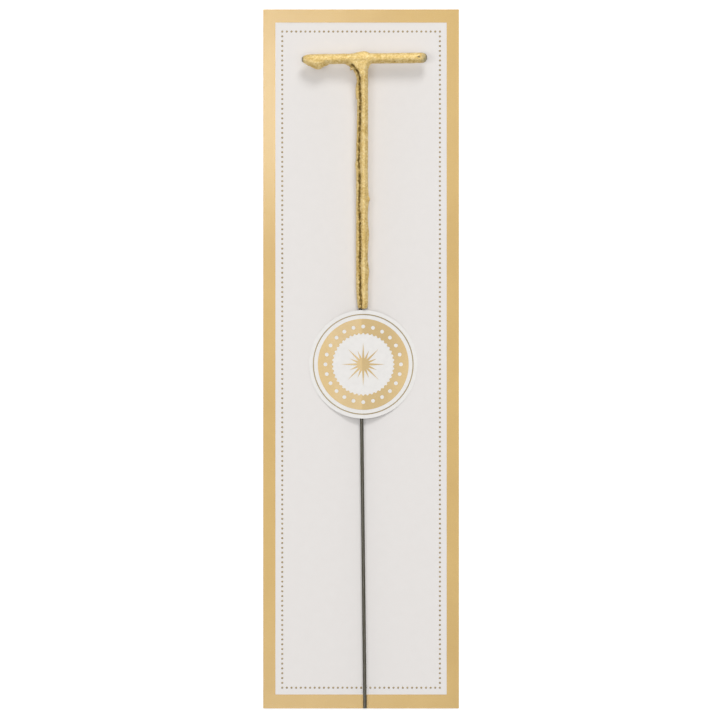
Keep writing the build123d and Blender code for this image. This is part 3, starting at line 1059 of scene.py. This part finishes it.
rim = circle(label_radius, RIM_POINTS)
ring_rim = circle(ring_outer, RIM_POINTS)
band_rim = circle(band_outer, RIM_POINTS)
ring_holes = [circle(ring_outer - RING_WIDTH, RIM_POINTS)]
band_holes = [scalloped_edge(), *bead_holes()]
label_pieces = (
    (sheet("label_sheet", rim, [], 0, PAPER), paper, "label_paper", "label_paper"),
    (on_paper("label_foil_ring", ring_rim, ring_holes), line_foil, "label_ring_line", "label_foil"),
    (on_paper("label_foil_band", band_rim, band_holes), label_foil, "label_band", "label_foil"),
    (on_paper("label_foil_burst", burst(), []), label_foil, "label_motif", "label_foil"),
    (glue_pads(), glue, "label_adhesive", "glue"),
)
for mesh, mat, node, slot in label_pieces:
    on_label(piece(mesh.name, mesh, None, mat, node, slot=slot))


# Floor, light and camera

FLOOR_SIZE = 4.0
FLOOR_DROP = 0.05
FLOOR_GREY, FLOOR_GLOW, FLOOR_ROUGHNESS = 0.93, 0.34, 0.9
PIXELS = 720
PIXEL = 0.28606
VIEW_X, VIEW_Y = -0.3004, -0.3147
SENSOR, LENS = 36.0, 300.0
CLIP_REACH = 10


def floor():
    """A wide white floor just under the card."""
    half = FLOOR_SIZE / 2 / MM
    z = card_low.z - FLOOR_DROP
    corners = [(-half, -half, z), (half, -half, z), (half, half, z), (-half, half, z)]
    mesh = mesh_of("floor", corners, [(0, 1, 2, 3)])
    mat, shader = new_material("floor_white", Roughness=FLOOR_ROUGHNESS, Emission_Strength=FLOOR_GLOW)
    shader.inputs["Emission Color"].default_value = (1, 1, 1, 1)
    shader.inputs["Base Color"].default_value = (FLOOR_GREY, FLOOR_GREY, FLOOR_GREY, 1)
    mesh.materials.append(mat)
    obj = bpy.data.objects.new("floor", mesh)
    bpy.context.scene.collection.objects.link(obj)


# Round lights: name, place, diameter and watts
LIGHTS = (
    ("key", (0.25, 1.43, 1.39), 0.72, 15.2),
    ("top_box", (-0.045, 0.114, 0.9), 0.09, 0.24),
    ("low_box", (-0.04, -0.19, 0.9), 0.12, 0.14),
    ("left_box", (-0.4, 0.05, 0.9), 0.3, 1.1),
    ("right_box", (0.4, 0.0, 0.9), 0.3, 0.15),
)


def area_light(name, place, size, watts):
    """A soft round light that looks at the middle of the card."""
    light = bpy.data.lights.new(name, "AREA")
    light.shape = "DISK"
    light.size = size
    light.energy = watts
    obj = bpy.data.objects.new(name, light)
    obj.location = place
    obj.rotation_euler = (-Vector(place)).to_track_quat("-Z", "Y").to_euler()
    bpy.context.scene.collection.objects.link(obj)


# The surrounding light: the way up it is counted along, its brightness from the horizon up, and strength
SKY_LEAN = (0.03, 0.0, 1.0)
SKY = ((0.0, 1.5), (0.28, 1.2), (0.5, 0.5), (0.82, 0.48), (0.92, 1.1), (0.98, 3.0), (1.0, 3.6))
SKY_STRENGTH = 0.61


def surroundings():
    """Light from all round, brightest straight above, and a white backdrop for the camera."""
    world = bpy.data.worlds.new("studio")
    bpy.context.scene.world = world
    world.use_nodes = True
    nodes, links = world.node_tree.nodes, world.node_tree.links
    nodes.clear()
    coords = nodes.new("ShaderNodeTexCoord")
    lean = nodes.new("ShaderNodeVectorMath")
    lean.operation = "DOT_PRODUCT"
    lean.inputs[1].default_value = Vector(SKY_LEAN).normalized()
    level = nodes.new("ShaderNodeValToRGB")
    light = nodes.new("ShaderNodeBackground")
    backdrop = nodes.new("ShaderNodeBackground")
    path = nodes.new("ShaderNodeLightPath")
    pick = nodes.new("ShaderNodeMixShader")
    out = nodes.new("ShaderNodeOutputWorld")
    elements = level.color_ramp.elements
    while len(elements) < len(SKY):
        elements.new(0.5)
    for element, (place, grey) in zip(elements, SKY):
        element.position = place
        element.color = (grey, grey, grey, 1)
    links.new(coords.outputs["Generated"], lean.inputs[0])
    links.new(lean.outputs["Value"], level.inputs["Fac"])
    links.new(level.outputs["Color"], light.inputs["Color"])
    links.new(path.outputs["Is Camera Ray"], pick.inputs["Fac"])
    links.new(light.outputs["Background"], pick.inputs[1])
    links.new(backdrop.outputs["Background"], pick.inputs[2])
    links.new(pick.outputs["Shader"], out.inputs["Surface"])
    light.inputs["Strength"].default_value = SKY_STRENGTH
    backdrop.inputs["Color"].default_value = (1, 1, 1, 1)


def camera():
    """A camera straight above the card, with the photograph's frame."""
    data = bpy.data.cameras.new("camera")
    data.sensor_width = SENSOR
    data.lens = LENS
    height = PIXELS * PIXEL * LENS / SENSOR + card_front
    obj = bpy.data.objects.new("camera", data)
    obj.location = (VIEW_X * MM, VIEW_Y * MM, height * MM)
    data.clip_end = CLIP_REACH * height * MM
    bpy.context.scene.collection.objects.link(obj)
    bpy.context.scene.camera = obj


floor()
surroundings()
for light in LIGHTS:
    area_light(*light)
camera()
bpy.context.scene.view_settings.view_transform = "Standard"
